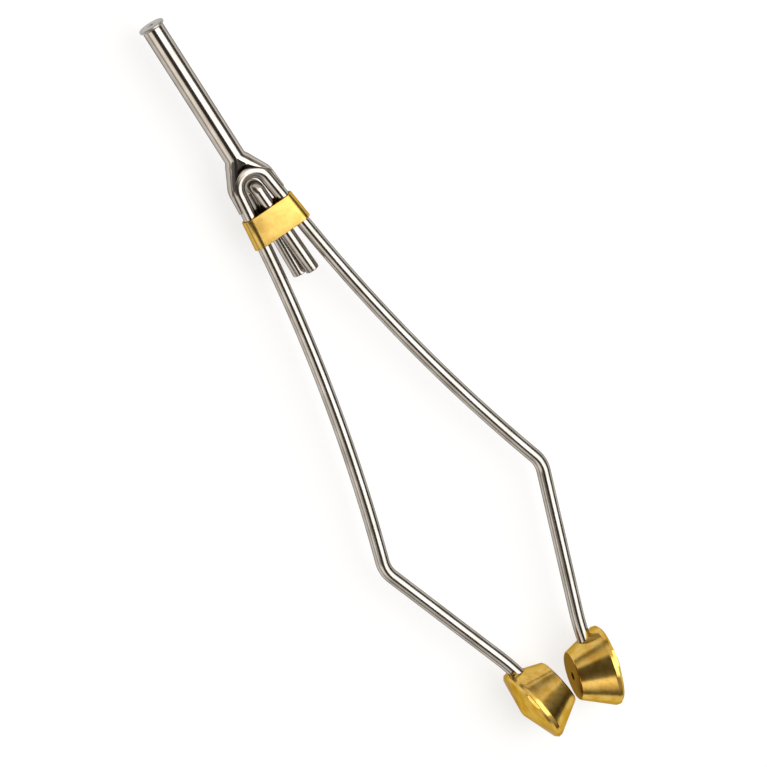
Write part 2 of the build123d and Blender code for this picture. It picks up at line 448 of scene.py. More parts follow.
class BentWire:
    """Round wire that is drawn out from a ring and bent run by run.

    Each vertex keeps its place on the straightened wire, so that drawing marks follow every bend.
    """

    def __init__(self, radius: float, start: Vector, heading: Vector, sides: int = 40) -> None:
        """Lays the first ring square to the heading.

        Args:
            radius: Radius of the wire.
            start: Centre of the first ring.
            heading: Direction that the wire leaves in.
            sides: Number of sides of the wire's section.
        """
        self.mesh = bmesh.new()
        self.place = self.mesh.verts.layers.float_vector.new(DRAWN)
        self.heading = heading.normalized()
        self.along = 0.0
        square = self.heading.to_track_quat("Z", "Y").to_matrix().to_4x4()
        bmesh.ops.create_circle(self.mesh, cap_ends=True, segments=sides, radius=radius)
        for vert in self.mesh.verts:
            vert[self.place] = vert.co
        bmesh.ops.transform(self.mesh, matrix=Matrix.Translation(start) @ square, verts=self.mesh.verts)
        self.ring = self.mesh.verts[:] + self.mesh.edges[:]
        self.first = self.mesh.edges[:]

    def grow(self, length: float, steps: int, **motion: object) -> None:
        """Draws the last ring on by a spin and marks each new ring's place along the wire.

        Args:
            length: Length of wire that is added.
            steps: Number of rings that it is added in.
            motion: Centre, axis, angle and shift for the spin operator.
        """
        before = len(self.mesh.verts)
        self.ring = bmesh.ops.spin(self.mesh, geom=self.ring, steps=steps, **motion)["geom_last"]
        self.mesh.verts.ensure_lookup_table()
        fresh = self.mesh.verts[before:]
        sides = len(fresh) // steps
        for number, vert in enumerate(fresh):
            across = vert[self.place]
            vert[self.place] = (across.x, across.y, self.along + length * (number // sides + 1) / steps)
        self.along += length

    def straight(self, length: float, steps: int = 1) -> None:
        """Adds a straight run of a given length in a number of rings."""
        self.grow(length, steps, cent=(0, 0, 0), axis=UP, dvec=self.heading * (length / steps), angle=0.0)

    def bend(self, centre: Vector, axis: Vector, angle: float, radius: float, steps: int) -> None:
        """Adds a bend.

        Args:
            centre: Centre of the bend.
            axis: Axis that the wire turns about.
            angle: Turn in degrees, by the right-hand rule.
            radius: Radius of the centre line.
            steps: Number of rings.
        """
        turn = math.radians(angle)
        self.grow(abs(turn) * radius, steps, cent=centre, axis=axis, dvec=(0, 0, 0), angle=turn)
        self.heading.rotate(Matrix.Rotation(turn, 3, axis))

    def close(self, edge_radius: float = 0.0) -> BMesh:
        """Caps the last ring and rounds both cut ends.

        Args:
            edge_radius: Radius of the cut ends' edges, none if zero.

        Returns:
            The finished mesh.
        """
        last = [item for item in self.ring if isinstance(item, BMEdge)]
        bmesh.ops.edgeloop_fill(self.mesh, edges=last)
        if edge_radius:
            round_edges(self.mesh, self.first + last, edge_radius)
        return self.mesh


@dataclass(frozen=True)
class Finish:
    """A metal finish: its name, its two tones and how sharp its reflections are."""

    name: str
    slot: str
    light_tone: str
    dark_tone: str
    least_rough: float
    most_rough: float
    # Tone of reflections at grazing edges; the steel's grey one darkens its edges as painted shade.
    edge_tint_and_shade: str = "#FFFFFF"
    tone_from: float = 0.0
    tone_to: float = 1.0

    def shader(self, tree: NodeTree, pattern: NodeSocket, rough: NodeSocket, relief: NodeSocket,
               relief_depth: float, painted_shade: tuple[str, NodeSocket] | None = None,
               matt: tuple[float, NodeSocket] | None = None) -> None:
        """Adds the metal's shader and output.

        Args:
            tree: Node tree of the material.
            pattern: Value that the tone follows, dark below one limit and light above another.
            rough: Share of the way from the least to the most rough.
            relief: Height of fine surface marks.
            relief_depth: Depth of those marks in millimetres.
            painted_shade: Darker tone painted on a part as shade, and the socket that is one where none is
                painted.
            matt: Roughness of a part left without polish, and the socket that is one where the metal has its
                polish.
        """
        tone = add_node(tree, "ShaderNodeMapRange", None,
                        {"From Min": self.tone_from, "From Max": self.tone_to}, {"Value": pattern})
        tones = add_node(tree, "ShaderNodeMix", {"data_type": "RGBA"},
                         {6: colour(self.dark_tone), 7: colour(self.light_tone)}, {0: tone.outputs["Result"]})
        # A darker tone is painted on part of the metal as shade.
        if painted_shade:
            tones = add_node(tree, "ShaderNodeMix", {"data_type": "RGBA"}, {6: colour(painted_shade[0])},
                             {0: painted_shade[1], 7: tones.outputs[2]})
        grain = add_node(tree, "ShaderNodeMapRange", None,
                         {"To Min": self.least_rough, "To Max": self.most_rough}, {"Value": rough})
        roughness = grain.outputs["Result"]
        if matt:
            part = add_node(tree, "ShaderNodeMix", None, {2: matt[0]}, {0: matt[1], 3: roughness})
            roughness = part.outputs[0]
        marks = add_node(tree, "ShaderNodeBump", None, {"Strength": 1.0, "Distance": relief_depth * MM},
                         {"Height": relief})
        metal = add_node(tree, "ShaderNodeBsdfPrincipled", None,
                         {"Metallic": 1.0, "Specular Tint": colour(self.edge_tint_and_shade)},
                         {"Base Color": tones.outputs[2], "Roughness": roughness,
                          "Normal": marks.outputs["Normal"]})
        add_node(tree, "ShaderNodeOutputMaterial", None, None, {"Surface": metal.outputs["BSDF"]})


@dataclass(frozen=True)
class DrawnSteel(Finish):
    """Stainless steel pulled through a die: fine straight lines along it and slow changes of tone."""

    tone_from: float = 0.5
    tone_to: float = 1.0
    line_share: float = 0.5
    line_width: float = 0.22
    line_length: float = 9.0
    cloud: float = 2.6
    line_depth: float = 0.0012
    bore_radius: float = 0.0
    bore_rough: float = 0.65

    def material(self) -> Material:
        """Drawing lines that follow the wire, drawn wider than real ones so that they show.

        Returns:
            The material, with an unpolished bore if it has a bore radius.
        """
        material, tree = new_material(self.name)
        place = add_node(tree, "ShaderNodeAttribute", {"attribute_name": DRAWN})
        fine = 1 / self.line_width
        lines_place = add_node(tree, "ShaderNodeMapping", None, {"Scale": (fine, fine, 1 / self.line_length)},
                               {"Vector": place.outputs["Vector"]})
        lines = add_node(tree, "ShaderNodeTexNoise", None, {"Scale": 1.0, "Detail": 3.0, "Roughness": 0.6},
                         {"Vector": lines_place.outputs["Vector"]})
        clouds = add_node(tree, "ShaderNodeTexNoise", None, {"Scale": 1 / self.cloud, "Detail": 2.0},
                          {"Vector": place.outputs["Vector"]})
        both = add_node(tree, "ShaderNodeMath", {"operation": "MULTIPLY_ADD"}, {1: self.line_share},
                        {0: lines.outputs["Fac"], 2: clouds.outputs["Fac"]})
        matt = None
        if self.bore_radius:
            across = add_node(tree, "ShaderNodeVectorMath", {"operation": "MULTIPLY"}, {1: (1, 1, 0)},
                              {0: place.outputs["Vector"]})
            reach = add_node(tree, "ShaderNodeVectorMath", {"operation": "LENGTH"}, None,
                             {0: across.outputs["Vector"]})
            outside = add_node(tree, "ShaderNodeMath", {"operation": "GREATER_THAN"}, {1: self.bore_radius},
                               {0: reach.outputs["Value"]})
            matt = (self.bore_rough, outside.outputs[0])
        self.shader(tree, both.outputs["Value"], lines.outputs["Fac"], lines.outputs["Fac"], self.line_depth,
                    matt=matt)
        return material


@dataclass(frozen=True)
class RolledBrass(Finish):
    """Bright brass strip: faint rolling lines along it, handling smudges and small tarnish spots."""

    tone_from: float = 0.36
    tone_to: float = 0.58
    line_width: float = 0.16
    line_length: float = 5.0
    smudge: float = 1.3
    line_depth: float = 0.002

    def material(self) -> Material:
        """Rolling lines across the tool, because the strip is closed round the wires that way.

        Returns:
            The material.
        """
        material, tree = new_material(self.name)
        place = add_node(tree, "ShaderNodeTexCoord")
        per_metre = 1 / MM
        coarse = per_metre / self.line_length
        lines_place = add_node(tree, "ShaderNodeMapping", None,
                               {"Scale": (coarse, per_metre / self.line_width, coarse)},
                               {"Vector": place.outputs["Object"]})
        lines = add_node(tree, "ShaderNodeTexNoise", None, {"Scale": 1.0, "Detail": 3.0},
                         {"Vector": lines_place.outputs["Vector"]})
        smudges = add_node(tree, "ShaderNodeTexNoise", None,
                           {"Scale": per_metre / self.smudge, "Detail": 4.0, "Roughness": 0.55},
                           {"Vector": place.outputs["Object"]})
        marked = smudges.outputs["Fac"]
        self.shader(tree, marked, marked, lines.outputs["Fac"], self.line_depth)
        return material


@dataclass(frozen=True)
class TurnedBrass(Finish):
    """Brass turned on a lathe and given a polish: fine rings about the axis under a bright surface."""

    tone_from: float = 0.36
    tone_to: float = 0.6
    ring_pitch: float = 0.14
    smudge: float = 1.7
    ring_depth: float = 0.0016
    # Darker tone of the small face: painted shade, for the shadowed table and foot that it reflects.
    small_face_shade_tone: str = "#8E6A28"
    small_face_shade_depth: float = 0.06

    def material(self, side: Side, lathe: Matrix) -> Material:
        """Turning rings about a foot's own axis, with painted shade on its small face.

        Args:
            side: Side of the tool that the foot is on.
            lathe: Place of the foot's axis on the tool, with +X along it, in millimetres.

        Returns:
            The material for that foot.
        """
        material, tree = new_material(f"{self.name}_{side.word}")
        place = add_node(tree, "ShaderNodeTexCoord")
        own = add_node(tree, "ShaderNodeMapping", {"vector_type": "TEXTURE"},
                       {"Location": lathe.to_translation() * MM, "Rotation": lathe.to_euler(),
                        "Scale": (MM, MM, MM)},
                       {"Vector": place.outputs["Object"]})
        parts = add_node(tree, "ShaderNodeSeparateXYZ", None, None, {"Vector": own.outputs["Vector"]})
        flat = add_node(tree, "ShaderNodeCombineXYZ", None, {"X": 0.0},
                        {"Y": parts.outputs["Y"], "Z": parts.outputs["Z"]})
        radius = add_node(tree, "ShaderNodeVectorMath", {"operation": "LENGTH"}, None,
                          {0: flat.outputs["Vector"]})
        rings_place = add_node(tree, "ShaderNodeCombineXYZ", None, {"Z": 0.0},
                               {"X": parts.outputs["X"], "Y": radius.outputs["Value"]})
        rings = add_node(tree, "ShaderNodeTexNoise", None,
                         {"Scale": 1 / self.ring_pitch, "Detail": 2.0, "Roughness": 0.6},
                         {"Vector": rings_place.outputs["Vector"]})
        smudges = add_node(tree, "ShaderNodeTexNoise", None,
                           {"Scale": 1 / self.smudge, "Detail": 5.0, "Roughness": 0.6},
                           {"Vector": own.outputs["Vector"]})
        # Mask of the foot beyond its small face, which gets no painted shade.
        unshaded_part = add_node(tree, "ShaderNodeMath", {"operation": "GREATER_THAN"}, {1: self.small_face_shade_depth},
                            {0: parts.outputs["X"]})
        marked = smudges.outputs["Fac"]
        self.shader(tree, marked, marked, rings.outputs["Fac"], self.ring_depth,
                    painted_shade=(self.small_face_shade_tone, unshaded_part.outputs["Value"]))
        return material


@dataclass
class WireFrame:
    """Sprung wire frame: the crown in the tube's fork and one arm on each side."""

    layout: Layout
    ends: tuple[ArmEnd, ...]
    finish: DrawnSteel
    leg_steps: int = 6
    crown_steps: int = 64
    bow_steps: int = 80
    elbow_steps: int = 28
    lower_steps: int = 6
    bend_steps: int = 8

    def build(self) -> None:
        """Bends the crown and both arms and sets the crown on its body."""
        material = self.finish.material()
        crown = to_piece(self.bend_crown(), "crown_wire", material)
        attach(crown, Body.FRAME.value)
        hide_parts("frame_wire")
        log.info("crown_wire: %d faces", len(crown.data.polygons))
        for end in self.ends:
            arm = to_piece(self.bend_arm(end), f"{end.side.word}_sprung_arm", material)
            self.flex(arm, end.side)
            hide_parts(f"{end.side.word}_arm_wire")
            log.info("%s: %d faces", arm.name, len(arm.data.polygons))

    def bend_crown(self) -> BMesh:
        """The wire from inside the band, up one leg, over the crown and down the other.

        Returns:
            Mesh of the crown.
        """
        lay = self.layout
        start = Vector((-lay.leg_x(lay.band_y), lay.band_y, 0))
        leg_run = (lay.leg_start.y - lay.band_y) / math.cos(math.radians(lay.leg_angle))
        wire = BentWire(lay.wire_r, start, -lay.heading(-lay.leg_angle))
        wire.straight(leg_run, self.leg_steps)
        wire.bend(lay.crown_centre, UP, 2 * lay.leg_angle - 180, lay.crown_radius, self.crown_steps)
        wire.straight(leg_run, self.leg_steps)
        return wire.close()

    def bend_arm(self, end: ArmEnd) -> BMesh:
        """The wire from inside the band, down the bow, round the elbow and into the foot.

        Args:
            end: Lower end of the arm.

        Returns:
            Mesh of the arm.
        """
        lay = self.layout
        side = end.side
        start = side.flip(Vector((lay.leg_x(lay.band_y), lay.band_y, 0)))
        leg_run = (lay.band_y - lay.band_bottom_y) / math.cos(math.radians(lay.leg_angle))
        wire = BentWire(lay.wire_r, start, side.flip(lay.heading(lay.leg_angle)))
        wire.straight(leg_run, self.leg_steps)
        bow_turn = side.value * lay.arm_turn
        wire.bend(side.flip(lay.bow_centre), UP, bow_turn, lay.arm_radius, self.bow_steps)
        elbow_turn = side.value * (end.lower_angle - lay.arm_end_angle)
        wire.bend(side.flip(lay.elbow_centre), UP, elbow_turn, lay.elbow_radius, self.elbow_steps)
        wire.straight(end.lower_length, self.lower_steps)
        end_turn = side.value * end.bend_angle
        wire.bend(side.flip(end.bend_centre), UP, end_turn, end.bend_radius, self.bend_steps)
        wire.straight(end.bend_to_seat + lay.foot_wire_past_axis, self.leg_steps)
        return wire.close()

    def flex(self, arm: Object, side: Side) -> None:
        """Bakes an arm's place into its mesh; its flex point is worked out, but nothing bends.

        Args:
            arm: Piece whose place is baked.
            side: Side of the tool that it is on.
        """
        start = side.flip(self.layout.arm_start) * MM
        pivot = side.flip(self.layout.flex_point) * MM
        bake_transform(arm)


@dataclass
class WedgeHairpin:
    """Short wire bent double that fills the crown, with two cut stubs below the band."""

    layout: Layout
    finish: DrawnSteel
    leg_gap: float = 0.05
    roll: float = 75.0
    top_gap: float = 0.2
    spread_angle: float = 2.3
    spread_radius: float = 10.0
    stub: float = 6.2
    stub_edge_radius: float = 0.12
    bend_steps: int = 40
    spread_steps: int = 4

    @property
    def bend_radius(self) -> float:
        """Radius of the doubled wire's centre line."""
        return self.layout.wire_r + self.leg_gap / 2

    @property
    def out(self) -> Vector:
        """Direction from the hairpin's axis to its front leg."""
        return Vector((math.cos(math.radians(self.roll)), 0, math.sin(math.radians(self.roll))))

    @property
    def across(self) -> Vector:
        """Direction that the front leg leans to."""
        return Vector((math.sin(math.radians(self.roll)), 0, -math.cos(math.radians(self.roll))))

    @property
    def axis_z(self) -> float:
        """Depth of the hairpin's own axis."""
        return -self.bend_radius * math.sin(math.radians(self.roll))

    @property
    def bend_centre(self) -> Vector:
        """Centre of the doubled bend."""
        top_y = self.layout.crown_top_y - self.layout.wire_d - self.top_gap
        return Vector((0, top_y - self.bend_radius, self.axis_z))

    def leg_place(self, y: float) -> Vector:
        """Place of the front leg's centre line, from the hairpin's own axis.

        Args:
            y: Height along the tool.

        Returns:
            The place, square to the tool.
        """
        lean = math.radians(self.spread_angle)
        below_turn = self.bend_centre.y - self.spread_radius * math.sin(lean) - y
        shift = self.spread_radius * (1 - math.cos(lean)) + below_turn * math.tan(lean)
        return self.out * self.bend_radius + self.across * shift

    def build(self) -> None:
        """Bends the hairpin from one stub over the top to the other."""
        lay = self.layout
        lean = math.radians(self.spread_angle)
        end_y = lay.band_bottom_y - self.stub
        stub_end = Vector((0, end_y, self.axis_z)) + self.leg_place(end_y)
        along = DOWN_TOOL * math.cos(lean) + self.across * math.sin(lean)
        run = (self.bend_centre.y - self.spread_radius * math.sin(lean) - end_y) / math.cos(lean)
        front_top = self.bend_centre + self.out * self.bend_radius
        rear_top = self.bend_centre - self.out * self.bend_radius
        lean_axis = DOWN_TOOL.cross(self.across)
        wire = BentWire(lay.wire_r, stub_end, -along)
        wire.straight(run, self.spread_steps)
        wire.bend(front_top + self.across * self.spread_radius, lean_axis, -self.spread_angle,
                  self.spread_radius, self.spread_steps)
        wire.bend(self.bend_centre, -self.across, 180, self.bend_radius, self.bend_steps)
        wire.bend(rear_top - self.across * self.spread_radius, -lean_axis, self.spread_angle,
                  self.spread_radius, self.spread_steps)
        wire.straight(run, self.spread_steps)
        piece = to_piece(wire.close(self.stub_edge_radius), "wedge_wire", self.finish.material())
        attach(piece, Body.FRAME.value)
        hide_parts("wedge_hairpin")
        log.info("%s: %d faces", piece.name, len(piece.data.polygons))


@dataclass(frozen=True)
class TongueSection:
    """One section of a tongue: an arc-shaped strip that is open towards the tool's axis."""

    x: float
    y: float
    angle: float
    inner_r: float
    wall: float
    half_angle: float
    front_angle: float

    def mixed(self, before: "TongueSection", after: "TongueSection", last: "TongueSection",
              share: float) -> "TongueSection":
        """A section between this one and the next on a smooth line through four sections.

        Args:
            before: Section ahead of this one.
            after: Section that follows this one.
            last: Section that follows that.
            share: Share of the way to the next section.

        Returns:
            The section there.
        """
        values = []
        for a, b, c, d in zip(vars(before).values(), vars(self).values(), vars(after).values(),
                              vars(last).values()):
            bent = 2 * a - 5 * b + 4 * c - d + share * (3 * (b - c) + d - a)
            values.append(b + 0.5 * share * (c - a + share * bent))
        return TongueSection(*values)

    def point(self, turn: float, outer: bool) -> Vector:
        """Point of the section on its outer or inner arc.

        Args:
            turn: Turn from the section's middle on the straight tube, where each half is a half circle.
            outer: Whether the point is on the outer arc.

        Returns:
            The point on the right-hand side.
        """
        reach = self.inner_r + (self.wall if outer else 0.0)
        swing = turn * (self.front_angle if turn > 0 else self.half_angle) / 90
        away = spoke(self.angle) * math.cos(swing) + UP * math.sin(swing)
        return Vector((self.x, self.y, 0)) + away * reach


@dataclass
class ThreadTube:
    """Thread tube whose slit lower end is spread into two tongues that straddle the crown."""

    layout: Layout
    finish: DrawnSteel
    sides: int = 96
    seat_gap: float = 0.04
    wall_at_crown: float = 0.3
    wall_at_tip: float = 0.08
    slope: float = 26.5
    upper_share: float = 0.62
    lower_share: float = 0.3
    wall_at_leg: float = 0.2
    root_half_angle: float = 87.0
    crown_half_angle: float = 85.0
    leg_half_angle: float = 65.0
    tip_half_angle: float = 55.0
    front_angles: tuple = (84.0, 72.0, 46.0, 37.0, 33.0, 30.0)
    tip_run: float = 2.3
    tab_length: float = 2.0
    tab_root: float = 0.4
    tab_inset: float = 0.05
    tab_half_angle: float = 40.0
    tab_steps: int = 20
    rows_between: int = 8

    def on_crown(self, angle: float) -> Vector:
        """Point of the crown's centre line at an angle above its middle."""
        return self.layout.crown_centre + spoke(angle) * self.layout.crown_radius

    def sloped_half_angle(self, share: float) -> float:
        """Half angle of a sloping section, a share of the way back from the crown to the slit's root."""
        return self.crown_half_angle + share * (self.root_half_angle - self.crown_half_angle)

    def sections(self) -> list[TongueSection]:
        """The right tongue's sections, from the slit's root to its feathered tip.

        Returns:
            The sections in order.
        """
        lay = self.layout
        bore_r = lay.tube_od / 2 - lay.tube_wall
        seat_r = lay.wire_r + self.seat_gap
        upper_r = (bore_r + seat_r) / 2
        touch = self.on_crown(self.slope)
        back_up = -lay.heading(self.slope)
        run = (lay.slit_root_y - touch.y) / back_up.y
        upper = touch + back_up * (run * self.upper_share) + spoke(self.slope) * (seat_r - upper_r)
        lower = touch + back_up * (run * self.lower_share)
        feather_angle = (self.slope + lay.leg_angle) / 2
        feather = self.on_crown(feather_angle)
        feather_wall = (self.wall_at_crown + self.wall_at_leg) / 2
        feather_half = (self.crown_half_angle + self.leg_half_angle) / 2
        on_leg = lay.leg_start
        tip = on_leg + lay.heading(lay.leg_angle) * self.tip_run
        front = iter(self.front_angles)
        return [
            TongueSection(0, lay.slit_root_y, 0, bore_r, lay.tube_wall, self.root_half_angle,
                          self.root_half_angle),
            TongueSection(upper.x, upper.y, self.slope, upper_r, self.wall_at_crown,
                          self.sloped_half_angle(self.upper_share), next(front)),
            TongueSection(lower.x, lower.y, self.slope, seat_r, self.wall_at_crown,
                          self.sloped_half_angle(self.lower_share), next(front)),
            TongueSection(touch.x, touch.y, self.slope, seat_r, self.wall_at_crown, self.crown_half_angle,
                          next(front)),
            TongueSection(feather.x, feather.y, feather_angle, seat_r, feather_wall, feather_half,
                          next(front)),
            TongueSection(on_leg.x, on_leg.y, lay.leg_angle, seat_r, self.wall_at_leg, self.leg_half_angle,
                          next(front)),
            TongueSection(tip.x, tip.y, lay.leg_angle, seat_r, self.wall_at_tip, self.tip_half_angle,
                          next(front)),
        ]

    def rows(self) -> list[TongueSection]:
        """The sections with smooth rows between them, without the first.

        Returns:
            The rows in order.
        """
        marks = self.sections()
        above = replace(marks[0], y=2 * marks[0].y - marks[1].y)
        padded = [above, *marks, marks[-1]]
        rows = []
        for number in range(1, len(padded) - 2):
            before, here, after, last = padded[number - 1:number + 3]
            rows += [here.mixed(before, after, last, (step + 1) / self.rows_between)
                     for step in range(self.rows_between)]
        return rows

    def build(self) -> None:
        """Draws the tube down to the slit and spreads each half into its tongue."""
        lay = self.layout
        mesh = bmesh.new()
        place = mesh.verts.layers.float_vector.new(DRAWN)
        outer_r = lay.tube_od / 2
        for radius in (outer_r, outer_r - lay.tube_wall):
            bmesh.ops.create_circle(mesh, cap_ends=False, segments=self.sides, radius=radius)
        bmesh.ops.bridge_loops(mesh, edges=mesh.edges[:])
        for vert in mesh.verts:
            vert[place] = vert.co
        top = Matrix.Translation((0, -lay.lip_thickness, 0)) @ Matrix.Rotation(math.radians(90), 4, "X")
        bmesh.ops.transform(mesh, matrix=top, verts=mesh.verts)
        grown = bmesh.ops.extrude_face_region(mesh, geom=mesh.faces[:])["geom"]
        bmesh.ops.translate(mesh, vec=DOWN_TOOL * lay.tube_length, verts=verts_of(grown))
        for vert in verts_of(grown):
            vert[place] = (vert[place].x, vert[place].y, lay.tube_length)
        lower_end = faces_of(grown)
        middle_r = outer_r - lay.tube_wall / 2
        halves = [(side, [face for face in lower_end if face.calc_center_median().x * side.value > 0])
                  for side in Side]
        for side, half in halves:
            self.spread(mesh, place, half, side, middle_r)
        self.add_tab(mesh, place)
        piece = to_piece(mesh, "slit_thread_tube", self.finish.material())
        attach(piece, Body.FRAME.value)
        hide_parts("thread_tube")
        log.info("%s: %d faces", piece.name, len(piece.data.polygons))

    def spread(self, mesh: BMesh, place: object, half: list, side: Side, middle_r: float) -> None:
        """Draws half of the tube's end out into a tongue, row by row.

        Args:
            mesh: Mesh of the tube.
            place: Layer that holds each vertex's place on the straight tube.
            half: Faces of that half of the tube's lower end.
            side: Side that the tongue goes to.
            middle_r: Radius in the middle of the tube's wall.
        """
        for row in self.rows():
            grown = bmesh.ops.extrude_face_region(mesh, geom=half)["geom"]
            bmesh.ops.delete(mesh, geom=half, context="FACES")
            half = faces_of(grown)
            for vert in verts_of(grown):
                on_tube = vert[place]
                turn = math.atan2(on_tube.y, on_tube.x * side.value)
                outer = math.hypot(on_tube.x, on_tube.y) > middle_r
                vert.co = side.flip(row.point(turn, outer))
                vert[place] = (on_tube.x, on_tube.y, -vert.co.y)

    def add_tab(self, mesh: BMesh, place: object) -> None:
        """Adds the strip of rear wall that is left whole behind the crown.

        Args:
            mesh: Mesh of the tube.
            place: Layer that holds each vertex's place on the straight tube.
        """
        lay = self.layout
        outer_r = lay.tube_od / 2 - self.tab_inset
        inner_r = lay.tube_od / 2 - lay.tube_wall + self.tab_inset
        length = self.tab_root + self.tab_length
        strip = bmesh.ops.create_grid(mesh, x_segments=1, y_segments=1, size=0.5)["verts"]
        bmesh.ops.scale(mesh, vec=(outer_r - inner_r, length, 1), verts=strip)
        middle = Vector(((outer_r + inner_r) / 2, lay.slit_root_y + self.tab_root - length / 2, 0))
        bmesh.ops.translate(mesh, vec=middle, verts=strip)
        first = Matrix.Rotation(math.radians(90 - self.tab_half_angle), 3, "Y")
        bmesh.ops.rotate(mesh, cent=(0, 0, 0), matrix=first, verts=strip)
        known = set(mesh.verts) - set(strip)
        faces = strip[0].link_faces[:]
        bmesh.ops.spin(mesh, geom=faces, cent=(0, 0, 0), axis=(0, 1, 0), dvec=(0, 0, 0),
                       angle=math.radians(2 * self.tab_half_angle), steps=self.tab_steps)
        for vert in mesh.verts:
            if vert not in known:
                vert[place] = (vert.co.x, vert.co.z, -vert.co.y)


@dataclass
class TipBush:
    """Headed bush in the tube's end: a rounded lip with the thread hole in its middle."""

    layout: Layout
    finish: DrawnSteel
    lip_overhang: float = 0.275
    lip_edge_radius: float = 0.18
    mouth_radius: float = 0.2
    thread_hole_d: float = 0.8
    stem_length: float = 3.0
    stem_fit: float = 0.02
    edge_segments: int = 6
    steps: int = 96

    def build(self) -> None:
        """Turns the bush about the tool's axis and rounds its lip and mouth."""
        lay = self.layout
        hole_r = self.thread_hole_d / 2
        lip_r = lay.tube_od / 2 + self.lip_overhang
        stem_r = lay.tube_od / 2 - lay.tube_wall - self.stem_fit
        stem_end = -lay.lip_thickness - self.stem_length
        corners = [(hole_r, 0), (lip_r, 0), (lip_r, -lay.lip_thickness), (stem_r, -lay.lip_thickness),
                   (stem_r, stem_end), (hole_r, stem_end)]
        mesh = bmesh.new()
        place = mesh.verts.layers.float_vector.new(DRAWN)
        verts = [mesh.verts.new((x, y, 0)) for x, y in corners]
        for here, after in zip(verts, verts[1:] + verts[:1]):
            mesh.edges.new((here, after))
        turn_round(mesh, (0, 1, 0), self.steps)
        self.round_ring(mesh, lip_r, (0, -lay.lip_thickness), self.lip_edge_radius)
        self.round_ring(mesh, hole_r, (0,), self.mouth_radius)
        for vert in mesh.verts:
            vert[place] = (vert.co.x, vert.co.z, vert.co.y)
        piece = to_piece(mesh, "tip_lip", self.finish.material())
        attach(piece, Body.FRAME.value)
        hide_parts("tip_bush")
        log.info("%s: %d faces", piece.name, len(piece.data.polygons))

    def round_ring(self, mesh: BMesh, radius: float, heights: tuple, edge_radius: float) -> None:
        """Rounds the ring edges of one radius at some heights.

        Args:
            mesh: Mesh of the bush.
            radius: Radius of the rings.
            heights: Heights of the rings along the tool.
            edge_radius: Radius that the edges get.
        """
        def on_ring(vert: BMVert) -> bool:
            """Whether a vertex lies on one of the rings."""
            near = abs(math.hypot(vert.co.x, vert.co.z) - radius) < WELD_MM
            return near and any(abs(vert.co.y - height) < WELD_MM for height in heights)

        edges = [edge for edge in mesh.edges if all(on_ring(vert) for vert in edge.verts)
                 and abs(edge.verts[0].co.y - edge.verts[1].co.y) < WELD_MM]
        round_edges(mesh, edges, edge_radius, self.edge_segments)


@dataclass
class ClampBand:
    """Thin brass strip closed round the frame's legs and the hairpin."""

    layout: Layout
    hairpin: WedgeHairpin
    finish: RolledBrass
    wall: float = 0.28
    fit: float = 0.03
    edge_radius: float = 0.06
    steps_round_bend: int = 20

    def outline(self, mesh: BMesh, y: float, reach: float) -> list:
        """Adds the band's outline at one height, as a closed loop of edges.

        Args:
            mesh: Mesh of the band.
            y: Height along the tool.
            reach: Distance from the wires' centre lines.

        Returns:
            The loop's edges.
        """
        lay = self.layout
        rear = self.hairpin.leg_place(y)
        corners = [Vector((lay.leg_x(y), y, 0)), Vector((-lay.leg_x(y), y, 0)),
                   Vector((-rear.x, y, self.hairpin.axis_z - rear.z))]
        normals = []
        for here, after in zip(corners, corners[1:] + corners[:1]):
            run = (after - here).normalized()
            normals.append(Vector((run.z, 0, -run.x)))
        before = len(mesh.verts)
        last = mesh.verts.new(corners[0] + normals[-1] * reach)
        for number, corner in enumerate(corners):
            turn = normals[number - 1].angle(normals[number])
            swept = bmesh.ops.spin(mesh, geom=[last], cent=corner, axis=DOWN_TOOL, dvec=(0, 0, 0),
                                   angle=turn, steps=self.steps_round_bend)
            end = verts_of(swept["geom_last"])[0]
            onward = corners[(number + 1) % len(corners)] - corner
            last = verts_of(bmesh.ops.extrude_vert_indiv(mesh, verts=[end])["verts"])[0]
            last.co += onward
        mesh.verts.ensure_lookup_table()
        fresh = mesh.verts[before:]
        bmesh.ops.remove_doubles(mesh, verts=fresh, dist=WELD_MM)
        return [edge for edge in mesh.edges if not edge.link_faces]

    def build(self) -> None:
        """Bridges outer and inner outlines at both edges of the band and softens its rims."""
        lay = self.layout
        inner_reach = lay.wire_r / math.cos(math.radians(lay.leg_angle)) + self.fit
        outer_reach = inner_reach + self.wall
        mesh = bmesh.new()
        order = [(lay.band_bottom_y, outer_reach), (lay.band_top_y, outer_reach),
                 (lay.band_top_y, inner_reach), (lay.band_bottom_y, inner_reach)]
        loops: list[set] = []
        for y, reach in order:
            known = set().union(*loops)
            loops.append({edge for edge in self.outline(mesh, y, reach) if edge not in known})
        for here, after in zip(loops, loops[1:] + loops[:1]):
            bmesh.ops.bridge_loops(mesh, edges=list(here) + list(after))
        rims = [edge for loop in loops for edge in loop]
        round_edges(mesh, rims, self.edge_radius)
        piece = to_piece(mesh, "brass_band", self.finish.material())
        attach(piece, Body.FRAME.value)
        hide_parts("clamp_band")
        log.info("%s: %d faces", piece.name, len(piece.data.polygons))


